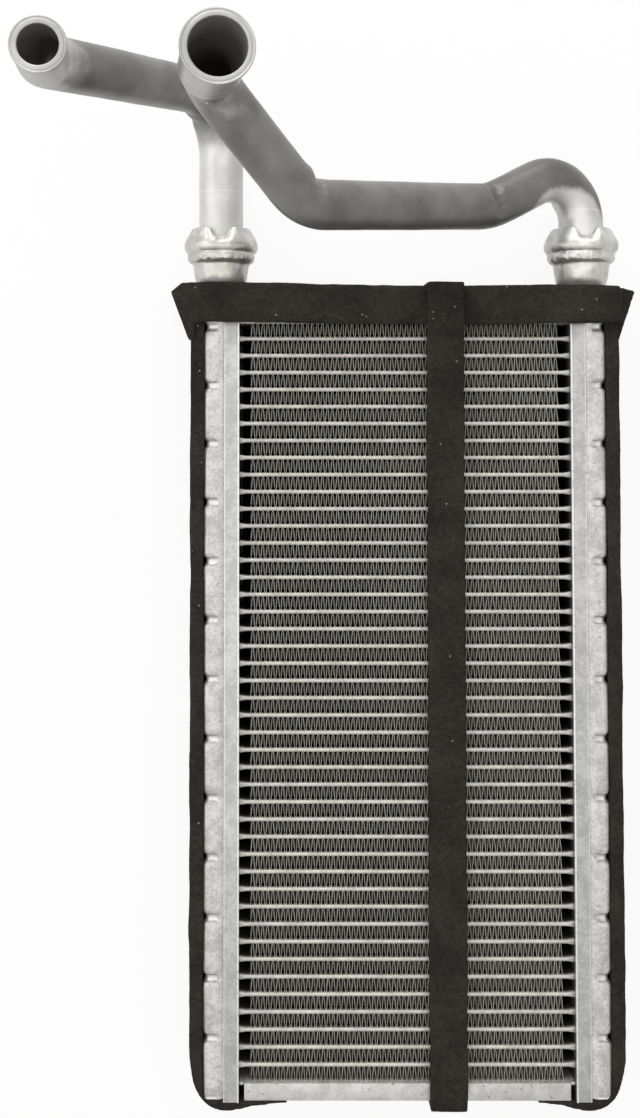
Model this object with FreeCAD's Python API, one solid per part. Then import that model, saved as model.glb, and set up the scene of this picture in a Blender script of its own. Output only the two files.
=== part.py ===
import FreeCAD, Part
import math
import os

from FreeCAD import Vector

# Heater core: a brazed aluminium stack of flat tubes and corrugated fins between two
# side tanks, two clinched pipe unions, two bent coolant pipes and glued foam seals.
# X runs across the core, Y along the tanks towards the pipes, Z up from the back that
# it lies on. Parts are drawn about the core's own middle and saved with the origin at
# the middle of the strap's back. All lengths are millimetres.

# Tube and fin stack
tube_count = 43
tube_pitch = 6.04
tube_height = 1.4
tube_depth = 23.4
tube_wall = 0.3
tube_nose_flat = 0.6
tube_in_tank = 2.0
fin_sheet = 0.35
fin_waves = 5
fin_end_gap = 3.9
fin_set_back = 0.3

# Header plates and tanks
header_gap = 117.2
header_sheet = 1.5
header_flange_sheet = 1.1
header_flange_height = 5.4
header_depth = 28.0
slot_clearance = 0.05
tank_sheet = 1.1
tank_height = 7.2
tank_end_inset = 1.7
tank_edge_radius = 2.6
tank_fit = 0.05
header_overhang = 0.3
groove_count = 13
groove_pitch = 20.64
groove_end_inset = 6.08
groove_width = 2.4
groove_depth = 0.8
groove_corner = 1.2
cut_past = 1.0

# Side plates
plate_sheet = 1.2
plate_flange = 6.1
plate_end_gap = 1.8
plate_set_back = 0.5
plate_bend_radius = 1.0

# Pipe unions
union_bore_radius = 3.5
union_foot_radius = 5.4
union_foot_room = 0.6
union_bowl_radius = 9.9
union_bowl_rise = 18.0
union_bead_radius = 12.1
union_bead_height = 3.6
collar_radius = 13.4
collar_rim_radius = 10.8
collar_height = 8.8
collar_bulge = (0.25, 0.55)
collar_wall = 1.7
claw_clearance = 0.3
claw_notch_depth = 3.4
claw_notch_width = 4.4
claw_notch_mouth = 9.0
socket_depth = 3.8
seal_section = 2.5
seal_fit = 0.05

# Coolant pipes, their bends given from the core's middle and from the tanks' ends
pipe_radius = 8.0
pipe_wall = 1.3
pipe_fit = 0.1
clinch_bead_radius = 10.6
clinch_bead_height = 3.0
small_corner_rise = 79.92
small_elbow_x = -113.3
small_elbow_rise = 64.52
small_elbow_z = 121.7
small_end_x = -111.9
small_end_rise = 64.02
small_end_z = 141.0
small_bend_radii = (21.0, 13.0)
small_lip_radius = 8.25
small_mouth_radius = 5.8
large_corner_rise = 56.02
large_knee_x = 28.9
large_knee_rise = 35.52
large_knee_z = 37.9
large_dogleg_x = -36.3
large_dogleg_rise = 27.62
large_dogleg_z = 89.7
large_elbow_x = -66.4
large_elbow_rise = 61.82
large_elbow_z = 112.4
large_end_x = -61.3
large_end_rise = 59.72
large_end_z = 154.5
large_bend_radii = (14.5, 26.0, 18.0, 13.0)
large_stub_radius = 9.5
large_lip_radius = 10.5
large_expansion = 5.0
lip_length = 2.2
stub_set_back = 0.5
bend_section_degrees = 15.0

# Foam seals
foam_sheet = 2.6
band_overhang = 1.5
band_rise = 8.02
band_flap = 14.0
band_edge_radius = 2.4
band_hole_radius = 8.7
band_ear_drop = 20.5
band_ear_rise = 3.3
left_ear_reach = 7.0
right_ear_reach = 5.4
side_foam = 4.6
side_foam_turn = 14.0
side_foam_sag = 0.6
side_foam_taper = 3.0
side_foam_tail = 0.9
foam_strip_gap = 0.1
left_foam_end_x = -41.5
right_foam_end_x = 45.1
strap_center_x = 14.1
strap_width = 13.2
strap_squeeze = 1.3
strap_over_band = 0.4
strap_round = 2.0
strap_dent = 0.26
strap_ramp = 3.0

# Levels and faces worked out from the sizes above
back_z = foam_sheet
middle_z = back_z + header_depth / 2
front_z = back_z + header_depth
first_tube_y = tube_pitch * (tube_count - 1) / 2
fin_height = tube_pitch - tube_height
fin_depth = tube_depth - 2 * fin_set_back
plate_inner_y = first_tube_y + tube_height / 2 + fin_height
plate_outer_y = plate_inner_y + plate_flange
plate_depth = header_depth - 2 * plate_set_back
header_face_x = header_gap / 2
header_back_x = header_face_x + header_sheet
header_rim_x = header_face_x + header_flange_height
header_end_y = plate_outer_y + header_overhang
tank_outer_x = header_rim_x + tank_height
tank_end_y = header_end_y - tank_end_inset
union_x = (header_back_x + tank_outer_x) / 2
band_top_y = header_end_y + band_rise
band_end_x = tank_outer_x + side_foam + band_overhang


def box(x0, x1, y0, y1, z0, z1):
    """Block between two corners."""
    block = Part.makeBox(x1 - x0, y1 - y0, z1 - z0)
    block.translate(Vector(x0, y0, z0))
    return block


def prism(points, along):
    """Solid swept from a closed flat outline along a vector."""
    outline = Part.makePolygon(points + [points[0]])
    return Part.Face(outline).extrude(along)


def mirrored(shape):
    """The same shape on the other side of the core's middle plane."""
    return shape.mirror(Vector(0, 0, 0), Vector(1, 0, 0))


def save(shape, name):
    """Writes one sub-part, moved so that the strap's back is the origin."""
    if not shape.isValid():
        raise ValueError(name + " is not valid")
    placed = shape.copy()
    placed.translate(Vector(-strap_center_x, 0, 0))
    placed.exportStep("parts/" + name + ".step")


def flat_tube(y):
    """Extruded flat tube with narrow noses, open into both tanks."""
    reach = header_back_x + tube_in_tank
    chamfer = (tube_height - tube_nose_flat) / 2
    half = tube_height / 2
    low, high = middle_z - tube_depth / 2, middle_z + tube_depth / 2
    outline = [
        (y - half, low + chamfer),
        (y - tube_nose_flat / 2, low),
        (y + tube_nose_flat / 2, low),
        (y + half, low + chamfer),
        (y + half, high - chamfer),
        (y + tube_nose_flat / 2, high),
        (y - tube_nose_flat / 2, high),
        (y - half, high - chamfer),
    ]
    body = prism([Vector(-reach, a, b) for a, b in outline], Vector(2 * reach, 0, 0))
    bore = box(
        -reach, reach,
        y - half + tube_wall, y + half - tube_wall,
        low + chamfer + tube_wall, high - chamfer - tube_wall,
    )
    return body.cut(bore)


def fin_row(y):
    """One corrugated fin strip, its crests on the tubes above and below."""
    reach = header_face_x - fin_end_gap
    wave = 2 * reach / fin_waves
    top, low = y + fin_height / 2, y - fin_height / 2 + fin_sheet
    line = [(-reach, low)]
    for n in range(fin_waves):
        start = -reach + n * wave
        line += [(start + wave / 2, top), (start + wave, low)]
    z = middle_z - fin_depth / 2
    outline = [Vector(a, b, z) for a, b in line]
    outline += [Vector(a, b - fin_sheet, z) for a, b in reversed(line)]
    return prism(outline, Vector(0, 0, fin_depth))


def union_room():
    """Round space that the right union's foot takes out of the rims above the tank's end."""
    foot_at = Vector(union_x, tank_end_y, middle_z)
    return Part.makeCylinder(
        union_foot_radius + union_foot_room, header_flange_height, foot_at, Vector(0, 1, 0)
    )


def header_plate():
    """Right header: a shallow pressed pan with one slot for each tube."""
    low, high = middle_z - header_depth / 2, middle_z + header_depth / 2
    wall = header_flange_sheet
    pan = box(header_face_x, header_rim_x, -header_end_y, header_end_y, low, high)
    hollow = box(
        header_back_x, header_rim_x + cut_past,
        -header_end_y + wall, header_end_y - wall, low + wall, high - wall,
    )
    pan = pan.cut(hollow).cut(union_room())
    reach_y = tube_height / 2 + slot_clearance
    reach_z = tube_depth / 2 + slot_clearance
    slots = []
    for n in range(tube_count):
        y = first_tube_y - n * tube_pitch
        slots.append(box(
            header_face_x - cut_past, header_back_x + cut_past,
            y - reach_y, y + reach_y, middle_z - reach_z, middle_z + reach_z,
        ))
    return pan.cut(Part.makeCompound(slots))


def groove_ring(y):
    """Space that one cross groove takes out of the right tank, round its three sides."""
    floor_x = tank_outer_x - groove_depth
    low, high = back_z + groove_depth, front_z - groove_depth
    outline = [
        (header_rim_x, low), (floor_x - groove_corner, low), (floor_x, low + groove_corner),
        (floor_x, high - groove_corner), (floor_x - groove_corner, high), (header_rim_x, high),
    ]
    start = y - groove_width / 2
    core = prism([Vector(a, start, b) for a, b in outline], Vector(0, groove_width, 0))
    around = box(
        header_rim_x, tank_outer_x + cut_past, start, start + groove_width,
        back_z - cut_past, front_z + cut_past,
    )
    return around.cut(core)


def tank():
    """Right tank: a drawn pan with closed ends and pressed-in cross grooves."""
    half = header_depth / 2
    body = box(header_rim_x, tank_outer_x, -tank_end_y, tank_end_y, back_z, front_z)
    ends = []
    longs = []
    for edge in body.Edges:
        middle = edge.CenterOfMass
        if abs(middle.x - tank_outer_x) > 1e-6:
            continue
        if abs(abs(middle.y) - tank_end_y) < 1e-6:
            ends.append(edge)
        else:
            longs.append(edge)
    body = body.makeFillet(tank_edge_radius, longs + ends)
    first_y = tank_end_y - groove_end_inset
    grooves = [groove_ring(first_y - n * groove_pitch) for n in range(groove_count)]
    body = body.cut(grooves)

    tongue_half = half - header_flange_sheet - tank_fit
    tongue_end = header_end_y - header_flange_sheet - tank_fit
    tongue = box(
        header_back_x, header_rim_x,
        -tongue_end, tongue_end, middle_z - tongue_half, middle_z + tongue_half,
    )
    wall = tank_sheet
    inset = wall + groove_depth
    cavity = box(
        header_rim_x, tank_outer_x - inset,
        -tank_end_y + wall, tank_end_y - wall, back_z + inset, front_z - inset,
    )
    mouth_half = tongue_half - wall
    mouth_end = tongue_end - wall
    mouth = box(
        header_back_x, header_rim_x,
        -mouth_end, mouth_end, middle_z - mouth_half, middle_z + mouth_half,
    )
    hole = Part.makeCylinder(
        union_bore_radius, 3 * wall,
        Vector(union_x, tank_end_y - 2 * wall, middle_z), Vector(0, 1, 0),
    )
    shell = body.fuse(tongue).removeSplitter()
    return shell.cut([cavity, mouth, hole, union_room()])


def side_plate():
    """Top side plate: a channel with its web on the fins and its flanges outward."""
    reach = header_face_x - plate_end_gap
    low, high = middle_z - plate_depth / 2, middle_z + plate_depth / 2
    web = box(-header_face_x, header_face_x, plate_inner_y, plate_inner_y + plate_sheet, low, high)
    flange = box(-reach, reach, plate_inner_y, plate_outer_y, low, low + plate_sheet)
    other = box(-reach, reach, plate_inner_y, plate_outer_y, high - plate_sheet, high)
    channel = web.fuse([flange, other]).removeSplitter()
    bends = []
    for edge in channel.Edges:
        middle = edge.CenterOfMass
        on_web = abs(middle.y - plate_inner_y) < 1e-6
        on_face = abs(abs(middle.z - middle_z) - plate_depth / 2) < 1e-6
        if on_web and on_face and edge.Length > reach:
            bends.append(edge)
    return channel.makeFillet(plate_bend_radius, bends)


union_bowl_y = tank_end_y + union_bowl_rise
union_bead_top_y = union_bowl_y + union_bead_height
collar_top_y = union_bead_top_y + collar_height
seat_y = union_bowl_y + union_bead_height / 3
seal_y = seat_y + seal_fit
clinch_bead_y = seal_y + seal_section + seal_fit
pipe_foot_y = union_bowl_y - socket_depth


def turned(points, x):
    """Ring turned round a pipe axis from the (radius, height) corners of its section."""
    corners = [Vector(x + r, y, middle_z) for r, y in points]
    face = Part.Face(Part.makePolygon(corners + [corners[0]]))
    return face.revolve(Vector(x, 0, middle_z), Vector(0, 1, 0), 360)


def pipe_union(x):
    """Cup brazed on the tank end, its skirt clinched over the pipe's bead as claws."""
    bulge_low, bulge_high = [union_bead_top_y + collar_height * part for part in collar_bulge]
    seat_radius = clinch_bead_radius + pipe_fit
    seat_top_y = clinch_bead_y + clinch_bead_height / 2
    rim_bore = pipe_radius + claw_clearance
    socket_radius = pipe_radius + pipe_fit
    ring = turned([
        (union_bore_radius, tank_end_y), (union_foot_radius, tank_end_y),
        (union_bowl_radius, union_bowl_y),
        (union_bead_radius, seat_y),
        (union_bead_radius, union_bead_top_y),
        (collar_radius, bulge_low), (collar_radius, bulge_high),
        (collar_rim_radius, collar_top_y), (rim_bore, collar_top_y),
        (rim_bore, collar_top_y - collar_wall),
        (seat_radius, seat_top_y), (seat_radius, seat_y),
        (socket_radius, seat_y), (socket_radius, pipe_foot_y),
        (union_bore_radius, pipe_foot_y),
    ], x)
    bottom = collar_top_y - claw_notch_depth
    z = back_z - collar_radius
    notch = prism(
        [
            Vector(x - claw_notch_width / 2, bottom, z),
            Vector(x + claw_notch_width / 2, bottom, z),
            Vector(x + claw_notch_mouth / 2, collar_top_y + cut_past, z),
            Vector(x - claw_notch_mouth / 2, collar_top_y + cut_past, z),
        ],
        Vector(0, 0, header_depth + 2 * collar_radius),
    )
    return ring.cut(notch)


def pipe_seal(x):
    """Rubber ring squeezed square between the pipe end and the cup's mouth."""
    inner, outer = pipe_radius + seal_fit, pipe_radius + seal_fit + seal_section
    return turned([
        (inner, seal_y), (outer, seal_y),
        (outer, seal_y + seal_section), (inner, seal_y + seal_section),
    ], x)


def bent_bar(points, bend_radii, radius):
    """Round bar of straight runs and tangent bends, each bend mitred in short sections."""
    pieces = []
    last = points[0]
    for corner, after, bend in zip(points[1:-1], points[2:], bend_radii):
        back = (last - corner).normalize()
        ahead = (after - corner).normalize()
        turn = math.degrees(math.pi - back.getAngle(ahead))
        cut = bend * math.tan(math.radians(turn / 2))
        start = corner + back * cut
        pieces.append(Part.makeCylinder(radius, (start - last).Length, last, start - last))
        center = corner + (back + ahead).normalize() * (bend / math.cos(math.radians(turn / 2)))
        ring = Part.Wire(Part.makeCircle(radius, start, back))
        sections = math.ceil(turn / bend_section_degrees)
        rings = []
        for n in range(sections + 1):
            turned_ring = ring.copy()
            turned_ring.rotate(center, ahead.cross(back), turn * n / sections)
            rings.append(turned_ring)
        pieces.append(Part.makeLoft(rings, True, True))
        last = corner + ahead * cut
    run = points[-1] - last
    pieces.append(Part.makeCylinder(radius, run.Length, last, run))
    return pieces[0].fuse(pieces[1:]).removeSplitter()


def cone(base, axis, near, far, length):
    """Frustum that starts at a point and grows along an axis."""
    if abs(near - far) < 1e-9:
        return Part.makeCylinder(near, length, base, axis)
    return Part.makeCone(near, far, length, base, axis)


def pipe(x, corner_y, bends, end, radii, stub_radius, lip_radius, mouth_radius):
    """Coolant pipe: a clinch bead at the foot, bends, and a lipped hose end."""
    foot = Vector(x, pipe_foot_y + pipe_fit, middle_z)
    up = Vector(0, 1, 0)
    points = [foot, Vector(x, corner_y, middle_z)] + bends + [end]
    bore_radius = pipe_radius - pipe_wall
    outer = bent_bar(points, radii, pipe_radius)
    inner = bent_bar(points, radii, bore_radius)

    axis = (end - bends[-1]).normalize()
    turn = math.pi - (points[-3] - bends[-1]).getAngle(axis)
    stub_start = bends[-1] + axis * (radii[-1] * math.tan(turn / 2) + stub_set_back)
    stub_length = (end - stub_start).Length
    lip_start = end - axis * lip_length
    bead = clinch_bead_height / 2
    clinch = cone(
        Vector(x, clinch_bead_y, middle_z), up, clinch_bead_radius, clinch_bead_radius, bead
    )
    shoulder = cone(
        Vector(x, clinch_bead_y + bead, middle_z), up, clinch_bead_radius, pipe_radius, bead
    )
    extras = [clinch, shoulder, cone(lip_start, axis, lip_radius, lip_radius, lip_length)]
    bores = [inner]
    if stub_radius > pipe_radius:
        grown = stub_start + axis * large_expansion
        barrel = stub_length - large_expansion
        extras.append(cone(stub_start, axis, pipe_radius, stub_radius, large_expansion))
        extras.append(cone(grown, axis, stub_radius, stub_radius, barrel))
        bores.append(cone(stub_start, axis, bore_radius, mouth_radius, large_expansion))
        bores.append(cone(grown, axis, mouth_radius, mouth_radius, barrel + cut_past))
    body = outer.fuse(extras).removeSplitter()
    for bore in bores:
        body = body.cut(bore)
    if mouth_radius < bore_radius:
        collar = cone(lip_start, axis, bore_radius + pipe_fit, bore_radius + pipe_fit, lip_length)
        collar = collar.cut(cone(lip_start, axis, mouth_radius, mouth_radius, lip_length))
        body = body.fuse(collar).removeSplitter()
    return body


def strap_loop():
    """Foam strap glued round the stack, pressed into the top band at the back."""
    x0 = strap_center_x - strap_width / 2
    step = foam_sheet
    flap_y = band_top_y - band_flap
    top_y = band_top_y + strap_over_band
    over_flap_z = front_z + foam_sheet - strap_dent
    crest_z = over_flap_z + step
    outer = [
        (-plate_outer_y - step, step), (-plate_outer_y, 0),
        (top_y - strap_round, 0), (top_y, strap_round),
        (top_y, crest_z - strap_round), (top_y - strap_round, crest_z),
        (flap_y, crest_z), (flap_y - strap_ramp, front_z + step),
        (-plate_outer_y, front_z + step), (-plate_outer_y - step, front_z),
    ]
    inner = [
        (-plate_outer_y, back_z), (flap_y, back_z), (flap_y, strap_squeeze),
        (top_y - step, strap_squeeze), (top_y - step, over_flap_z),
        (flap_y, over_flap_z), (flap_y, front_z), (-plate_outer_y, front_z),
    ]
    ring = prism([Vector(x0, y, z) for y, z in outer], Vector(strap_width, 0, 0))
    hole = prism([Vector(x0, y, z) for y, z in inner], Vector(strap_width, 0, 0))
    return ring.cut(hole)


def band_ear(side, reach):
    """End of the band, creased down over the side strip and standing off it."""
    root = tank_outer_x + side_foam
    tip_y = band_top_y - band_ear_rise
    outline = [
        (root, band_top_y - band_ear_drop), (root + reach, tip_y),
        (root + reach / 2, band_top_y), (root, band_top_y),
    ]
    points = [Vector(side * x, y, back_z) for x, y in outline]
    return prism(points, Vector(0, 0, header_depth))


def top_band(strap):
    """Foam band folded over the top end, cut out for the unions and the strap."""
    flap_y = band_top_y - band_flap
    half = band_end_x
    block = box(-half, half, flap_y, band_top_y, 0, front_z + foam_sheet)
    edges = [
        e for e in block.Edges
        if e.Length > half and abs(e.CenterOfMass.y - band_top_y) < 1e-6
    ]
    block = block.makeFillet(band_edge_radius, edges)
    block = block.cut(box(
        -half - cut_past, half + cut_past, flap_y - cut_past, header_end_y, back_z, front_z
    ))
    for x in (-union_x, union_x):
        block = block.cut(Part.makeCylinder(
            band_hole_radius, band_flap, Vector(x, header_end_y - cut_past, middle_z), Vector(0, 1, 0)
        ))
    ears = [band_ear(-1, left_ear_reach), band_ear(1, right_ear_reach)]
    return block.fuse(ears).removeSplitter().cut(strap)


def side_foam_strip(end_x):
    """Right foam strip: down the tank's side, round its end and under the side plate."""
    inner_x, outer_x = tank_outer_x, tank_outer_x + side_foam
    low = -header_end_y
    round_x, round_y = inner_x - tank_edge_radius, -tank_end_y + tank_edge_radius
    slant = math.sqrt(0.5)
    inner_turn = Part.Arc(
        Vector(inner_x, round_y, back_z),
        Vector(round_x + tank_edge_radius * slant, round_y - tank_edge_radius * slant, back_z),
        Vector(round_x, -tank_end_y, back_z),
    ).toShape()
    outer_turn = Part.Arc(
        Vector(header_rim_x - side_foam_taper, low - foam_sheet, back_z),
        Vector(inner_x - side_foam_sag, low + side_foam_sag, back_z),
        Vector(outer_x, low + side_foam_turn, back_z),
    ).toShape()
    top = tank_end_y - foam_strip_gap
    inner_line = [
        (round_x, -tank_end_y), (header_rim_x, -tank_end_y), (header_rim_x, low),
        (end_x, low), (end_x, low - side_foam_tail),
        (header_rim_x - side_foam_taper, low - foam_sheet),
    ]
    outer_line = [
        (outer_x, low + side_foam_turn), (outer_x, top), (inner_x, top), (inner_x, round_y),
    ]
    edges = [inner_turn, outer_turn]
    for line in (inner_line, outer_line):
        for a, b in zip(line, line[1:]):
            edges.append(Part.LineSegment(Vector(*a, back_z), Vector(*b, back_z)).toShape())
    outline = Part.Wire(Part.__sortEdges__(edges))
    return Part.Face(outline).extrude(Vector(0, 0, header_depth))


os.makedirs("parts", exist_ok=True)

for n in range(tube_count):
    save(flat_tube(first_tube_y - n * tube_pitch), "flat_tube_%02d" % (n + 1))

rows = []
for n in range(tube_count + 1):
    rows.append(fin_row(first_tube_y + tube_pitch / 2 - n * tube_pitch))
save(Part.makeCompound(rows), "fin_strips")

header = header_plate()
save(header, "header_plate_right")
save(mirrored(header), "header_plate_left")

side_tank = tank()
save(side_tank, "tank_right")
save(mirrored(side_tank), "tank_left")

plate = side_plate()
save(plate, "side_plate_top")
save(plate.mirror(Vector(0, 0, 0), Vector(0, 1, 0)), "side_plate_bottom")

save(Part.makeCompound([pipe_union(-union_x), pipe_union(union_x)]), "pipe_unions")
save(Part.makeCompound([pipe_seal(-union_x), pipe_seal(union_x)]), "pipe_seals")

small_elbow = Vector(small_elbow_x, tank_end_y + small_elbow_rise, small_elbow_z)
small_end = Vector(small_end_x, tank_end_y + small_end_rise, small_end_z)
small_pipe = pipe(
    -union_x, tank_end_y + small_corner_rise, [small_elbow], small_end, small_bend_radii,
    pipe_radius, small_lip_radius, small_mouth_radius,
)
save(small_pipe, "small_end_pipe")
large_bends = [
    Vector(large_knee_x, tank_end_y + large_knee_rise, large_knee_z),
    Vector(large_dogleg_x, tank_end_y + large_dogleg_rise, large_dogleg_z),
    Vector(large_elbow_x, tank_end_y + large_elbow_rise, large_elbow_z),
]
large_end = Vector(large_end_x, tank_end_y + large_end_rise, large_end_z)
large_pipe = pipe(
    union_x, tank_end_y + large_corner_rise, large_bends, large_end,
    large_bend_radii, large_stub_radius, large_lip_radius, large_stub_radius - pipe_wall,
)
save(large_pipe, "large_end_pipe")

strap = strap_loop()
save(strap, "foam_strap")
save(top_band(strap), "foam_top_band")
save(side_foam_strip(right_foam_end_x), "foam_strip_right")
save(mirrored(side_foam_strip(-left_foam_end_x)), "foam_strip_left")
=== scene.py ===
import math

import bmesh
import bpy
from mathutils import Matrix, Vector


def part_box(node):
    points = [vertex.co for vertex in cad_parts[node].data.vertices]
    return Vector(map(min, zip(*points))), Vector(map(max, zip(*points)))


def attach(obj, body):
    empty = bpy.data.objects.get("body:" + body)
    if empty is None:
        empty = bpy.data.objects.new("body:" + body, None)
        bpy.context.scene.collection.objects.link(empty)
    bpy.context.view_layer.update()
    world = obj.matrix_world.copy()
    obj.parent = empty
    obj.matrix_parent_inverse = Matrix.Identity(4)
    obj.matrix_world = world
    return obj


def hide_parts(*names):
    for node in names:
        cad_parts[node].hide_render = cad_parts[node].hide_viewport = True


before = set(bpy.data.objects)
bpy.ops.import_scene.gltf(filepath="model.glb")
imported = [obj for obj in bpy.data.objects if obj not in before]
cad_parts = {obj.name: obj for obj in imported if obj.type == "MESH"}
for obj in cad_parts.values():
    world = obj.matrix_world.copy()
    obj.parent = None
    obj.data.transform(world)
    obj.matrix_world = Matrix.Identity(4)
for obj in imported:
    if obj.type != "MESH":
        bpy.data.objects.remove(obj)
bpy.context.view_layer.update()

# Heater core lying on its back: X across the core, Y along the tanks towards the pipes,
# Z up. Sizes below are metres, and mm turns a drawing's millimetre into them.
mm = 0.001


# Flat tubes
# Extruded aluminium tubes, drawn flat with round noses. Their ends are brazed
# into the header plates, and the brazing flows out there into small fillets.

TUBE_NODES = sorted(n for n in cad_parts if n.startswith("flat_tube_"))
tube_overlap = 1.0 * mm
tube_stations = 26
nose_bevel = 0.62 * mm
nose_depth = 2.2 * mm
nose_bright = 0.5 * mm
fillet_reach = 2.4 * mm
fillet_rise = 0.55 * mm
tube_waver_size = 5.0 * mm
tube_waver = 0.22 * mm
nose_shadow = (0.075, 0.06, 0.048, 1)
skin_dull = (0.38, 0.365, 0.335, 1)
skin_bright = (0.56, 0.54, 0.50, 1)


class Paint:
    """A socket of a material's nodes, so that shader sums can be written as expressions."""

    def __init__(self, tree, socket):
        self.tree = tree
        self.socket = socket

    def node(self, kind, settings=None, inputs=None, out=0):
        """Adds a node with its settings made first, then the values or links of its inputs."""
        made = self.tree.nodes.new(kind)
        for name, value in (settings or {}).items():
            setattr(made, name, value)
        for name, value in (inputs or {}).items():
            if isinstance(value, Paint):
                self.tree.links.new(value.socket, made.inputs[name])
            else:
                made.inputs[name].default_value = value
        return Paint(self.tree, made.outputs[out] if made.outputs else None)

    def math(self, operation, other=0.0):
        """One Math node on this value and another."""
        return self.node("ShaderNodeMath", {"operation": operation}, {0: self, 1: other})

    def __add__(self, other):
        return self.math("ADD", other)

    def __mul__(self, other):
        return self.math("MULTIPLY", other)

    def __sub__(self, other):
        return self.math("SUBTRACT", other)

    def __rsub__(self, other):
        return self.node("ShaderNodeMath", {"operation": "SUBTRACT"}, {0: other, 1: self})

    __radd__ = __add__
    __rmul__ = __mul__

    def above(self, low, high):
        """0 below low, 1 above high, and smooth between them."""
        return self.node(
            "ShaderNodeMapRange", {"interpolation_type": "SMOOTHSTEP"},
            {"Value": self, "From Min": low, "From Max": high},
        )

    def mix(self, first, second):
        """A colour between two, by this value."""
        return self.node(
            "ShaderNodeMix", {"data_type": "RGBA"}, {"Factor": self, "A": first, "B": second}, 2
        )

    def stretched(self, scale):
        """Coordinates scaled along each axis."""
        return self.node("ShaderNodeMapping", None, {"Vector": self, "Scale": scale})

    def noise(self, scale, detail=3.0, roughness=0.55):
        """Cloudy noise on these coordinates, from 0 to 1."""
        return self.node(
            "ShaderNodeTexNoise", None,
            {"Vector": self, "Scale": scale, "Detail": detail, "Roughness": roughness},
        )

    def axes(self):
        """The three coordinates, each by itself."""
        split = self.node("ShaderNodeSeparateXYZ", None, {"Vector": self}).socket.node
        return [Paint(self.tree, split.outputs[axis]) for axis in "XYZ"]

    def cells(self, scale):
        """Distance to the nearest of scattered points."""
        return self.node("ShaderNodeTexVoronoi", None, {"Vector": self, "Scale": scale})


def finish_named(name):
    """A new material and the Paint of its surface coordinates."""
    material = bpy.data.materials.new(name)
    material.use_nodes = True
    tree = material.node_tree
    tree.nodes.clear()
    place = tree.nodes.new("ShaderNodeTexCoord")
    return material, Paint(tree, place.outputs["Object"])


def surface(place, relief, depth, **sockets):
    """The shader itself, with a bump from the relief in metres of depth."""
    bump = place.node(
        "ShaderNodeBump", None, {"Height": relief, "Distance": depth, "Strength": 1.0}
    )
    inputs = {"Normal": bump}
    inputs.update({name.replace("_", " "): value for name, value in sockets.items()})
    shader = place.node("ShaderNodeBsdfPrincipled", None, inputs)
    place.node("ShaderNodeOutputMaterial", None, {"Surface": shader})


def deselect():
    """Leaves edit mode and deselects everything."""
    if bpy.context.mode != "OBJECT":
        bpy.ops.object.mode_set(mode="OBJECT")
    bpy.ops.object.select_all(action="DESELECT")


def select_only(piece):
    """Selects one piece alone and makes it active."""
    deselect()
    piece.select_set(True)
    bpy.context.view_layer.objects.active = piece


def edit(piece):
    """Opens one piece in edit mode, by vertices."""
    select_only(piece)
    bpy.ops.object.mode_set(mode="EDIT")
    bpy.ops.mesh.select_mode(type="VERT")


def pick(piece, test):
    """Selects the vertices that pass a test of their place, and what they bound."""
    mesh = bmesh.from_edit_mesh(piece.data)
    for vert in mesh.verts:
        vert.select_set(False)
    mesh.select_flush(False)
    for vert in mesh.verts:
        if test(vert.co):
            vert.select_set(True)
    mesh.select_flush(True)
    bmesh.update_edit_mesh(piece.data)


def cut(point, normal):
    """Cuts all of the open piece along a plane, and takes nothing away."""
    bpy.ops.mesh.select_all(action="SELECT")
    bpy.ops.mesh.bisect(plane_co=point, plane_no=normal)


def block(name, low, high):
    """A box between two corners, its place kept in its mesh."""
    deselect()
    low, high = Vector(low), Vector(high)
    bpy.ops.mesh.primitive_cube_add(size=1, location=(low + high) / 2)
    piece = bpy.context.active_object
    piece.name = name
    piece.scale = high - low
    bpy.ops.object.transform_apply(location=True, rotation=True, scale=True)
    return piece


def modify(piece, kind, **settings):
    """Adds a modifier and applies it."""
    select_only(piece)
    modifier = piece.modifiers.new(kind.title(), kind)
    for name, value in settings.items():
        setattr(modifier, name, value)
    bpy.ops.object.modifier_apply(modifier=modifier.name)


def uneven(piece, name, size, strength, direction="NORMAL"):
    """Moves the surface by smooth noise of one size, up to half the strength each way."""
    clouds = bpy.data.textures.new(name, "CLOUDS")
    clouds.noise_scale = size
    modify(
        piece, "DISPLACE", texture=clouds, texture_coords="LOCAL",
        strength=strength, mid_level=0.5, direction=direction,
    )


def joined(pieces):
    """Joins pieces into the first of them."""
    deselect()
    for one in pieces:
        one.select_set(True)
    bpy.context.view_layer.objects.active = pieces[0]
    bpy.ops.object.join()
    return pieces[0]


def copies(piece, steps):
    """Copies of a piece with their own meshes, each moved by one step, joined with it."""
    made = [piece]
    for step in steps:
        select_only(piece)
        bpy.ops.object.duplicate(linked=False)
        copy = bpy.context.active_object
        copy.location = Vector(step)
        bpy.ops.object.transform_apply(location=True, rotation=False, scale=False)
        made.append(copy)
    return joined(made)


def done(piece, material, slot, *nodes, smooth=math.radians(35)):
    """Shades and colours a finished piece, hangs it on the root body, and hides the CAD nodes it
    stands for.
    """
    select_only(piece)
    bpy.ops.object.shade_smooth_by_angle(angle=smooth)
    piece.data.materials.clear()
    piece.data.materials.append(material)
    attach(piece, "root")
    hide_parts(*nodes)


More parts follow.
